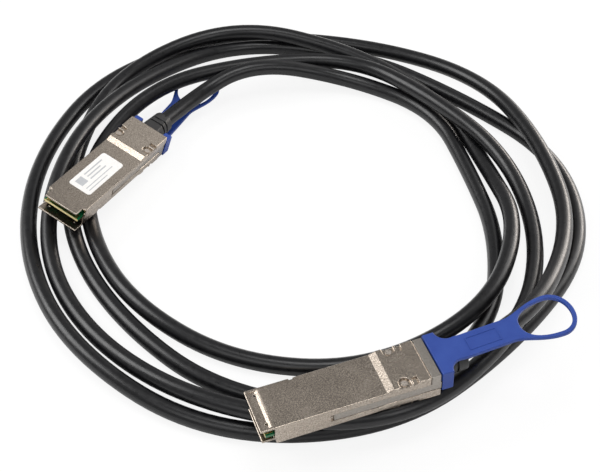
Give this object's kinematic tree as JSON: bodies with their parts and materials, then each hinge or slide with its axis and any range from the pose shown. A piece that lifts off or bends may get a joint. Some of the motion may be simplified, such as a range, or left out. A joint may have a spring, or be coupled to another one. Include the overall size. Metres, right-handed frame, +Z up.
{
  "type": "direct attach copper cable",
  "caption": "Coiled copper network cable with a pluggable latching metal module and a blue pull tab at each end.",
  "frame": {"origin": "on the floor, under the middle of the two plugs' common bounding box", "axes": "+X to the right across the coil and along the longest extent of the plugs' box is +Y; +Z is up"},
  "size_m": [0.2316, 0.2618, 0.0333],
  "materials": {
    "plated_casting": "nickel plated die casting, fine speckle",
    "plated_rivet": "plain",
    "green_board": "solder mask",
    "gold_contact": "gold plated",
    "chip_black": "plain",
    "capacitor_ceramic": "plain",
    "wire_jacket": "plain",
    "potting": "plain",
    "ferrule_metal": "plain",
    "boot_rubber": "satin",
    "label_paper": "white film label",
    "spring_steel": "plain",
    "latch_steel": "rolled sheet",
    "blue_plastic": "satin moulded",
    "cable_jacket": "satin jacket"
  },
  "bodies": {
    "coil_and_plugs": {"top_shell_a": "plated_casting", "bottom_shell_a": "plated_casting", "rivets_a": "plated_rivet", "paddle_card_a": "green_board", "contact_fingers_a": "gold_contact", "eeprom_chip_a": "chip_black", "chip_capacitors_a": "capacitor_ceramic", "twinax_pairs_a": "wire_jacket", "joint_potting_a": "potting", "crimp_ferrule_a": "ferrule_metal", "cable_boot_a": "boot_rubber", "label_a": "label_paper", "top_shell_b": "plated_casting", "bottom_shell_b": "plated_casting", "rivets_b": "plated_rivet", "paddle_card_b": "green_board", "contact_fingers_b": "gold_contact", "eeprom_chip_b": "chip_black", "chip_capacitors_b": "capacitor_ceramic", "twinax_pairs_b": "wire_jacket", "joint_potting_b": "potting", "crimp_ferrule_b": "ferrule_metal", "cable_boot_b": "boot_rubber", "label_b": "label_paper", "cable": "cable_jacket"},
    "latch_a": {"return_springs_a": "spring_steel", "latch_slide_a": "latch_steel", "pull_tab_a": "blue_plastic"},
    "latch_b": {"return_springs_b": "spring_steel", "latch_slide_b": "latch_steel", "pull_tab_b": "blue_plastic"}
  },
  "joints": [
    {"name": "latch_a_slide", "type": "slide", "parent": "coil_and_plugs", "child": "latch_a", "axis": [0.9417, 0.3335, 0.0454], "range_m": [0, 0.003], "stiffness_N_per_m": 300, "springref_m": -0.003},
    {"name": "latch_b_slide", "type": "slide", "parent": "coil_and_plugs", "child": "latch_b", "axis": [0.4677, 0.8796, -0.0872], "range_m": [0, 0.003], "stiffness_N_per_m": 300, "springref_m": -0.003}
  ]
}
